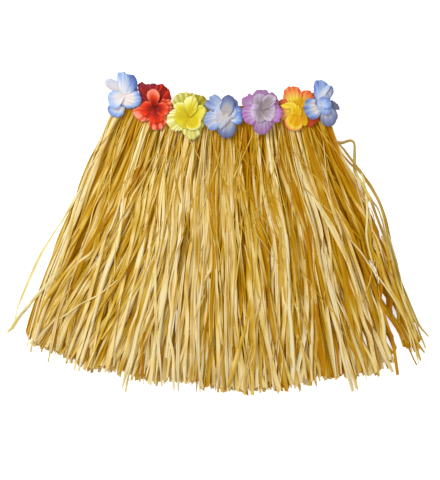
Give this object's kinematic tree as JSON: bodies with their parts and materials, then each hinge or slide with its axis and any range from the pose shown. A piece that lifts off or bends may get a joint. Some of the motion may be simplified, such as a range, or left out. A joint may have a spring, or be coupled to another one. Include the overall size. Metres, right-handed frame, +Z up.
{
  "type": "grass skirt",
  "caption": "Raffia fringe skirt laid flat and fanned out, its tufts looped over a flat elastic waistband that is trimmed with cloth flowers.",
  "frame": {"origin": "on the surface that the skirt lies on, under the middle of its outline", "axes": "+X along the waist, towards the right as seen from above; +Y from the hem to the waist; +Z up from the surface"},
  "size_m": [0.6108, 0.4675, 0.0261],
  "materials": {
    "raffia": "dry straw-coloured raffia ribbon with a faint satin sheen and fine lengthwise fibres",
    "elastic": "matt woven elastic with lengthwise ribs",
    "petal_blue": "pleated polyester, white to sky blue",
    "petal_red": "pleated polyester, orange red to dark red",
    "petal_yellow": "pleated polyester, cream to lemon yellow",
    "petal_purple": "pleated polyester, lavender with magenta edges",
    "petal_orange": "pleated polyester, golden yellow with coral edges"
  },
  "bodies": {
    "root": {"flower_1_blue_inner": "petal_blue", "flower_1_blue_outer": "petal_blue", "flower_2_red_inner": "petal_red", "flower_2_red_outer": "petal_red", "flower_3_yellow_inner": "petal_yellow", "flower_3_yellow_outer": "petal_yellow", "flower_4_blue_inner": "petal_blue", "flower_4_blue_outer": "petal_blue", "flower_5_purple_inner": "petal_purple", "flower_5_purple_outer": "petal_purple", "flower_6_orange_inner": "petal_orange", "flower_6_orange_outer": "petal_orange", "flower_7_blue_inner": "petal_blue", "flower_7_blue_outer": "petal_blue", "stray_arc_right": "raffia", "stray_lock_left": "raffia", "stray_loop_right": "raffia", "tuft_back_01": "raffia", "tuft_back_02": "raffia", "tuft_back_03": "raffia", "tuft_back_04": "raffia", "tuft_back_05": "raffia", "tuft_back_06": "raffia", "tuft_back_07": "raffia", "tuft_back_08": "raffia", "tuft_back_09": "raffia", "tuft_back_10": "raffia", "tuft_back_11": "raffia", "tuft_back_12": "raffia", "tuft_back_13": "raffia", "tuft_back_14": "raffia", "tuft_back_15": "raffia", "tuft_back_16": "raffia", "tuft_front_01": "raffia", "tuft_front_02": "raffia", "tuft_front_03": "raffia", "tuft_front_04": "raffia", "tuft_front_05": "raffia", "tuft_front_06": "raffia", "tuft_front_07": "raffia", "tuft_front_08": "raffia", "tuft_front_09": "raffia", "tuft_front_10": "raffia", "tuft_front_11": "raffia", "tuft_front_12": "raffia", "tuft_front_13": "raffia", "tuft_front_14": "raffia", "tuft_front_15": "raffia", "tuft_front_16": "raffia", "waistband": "elastic"}
  },
  "joints": []
}
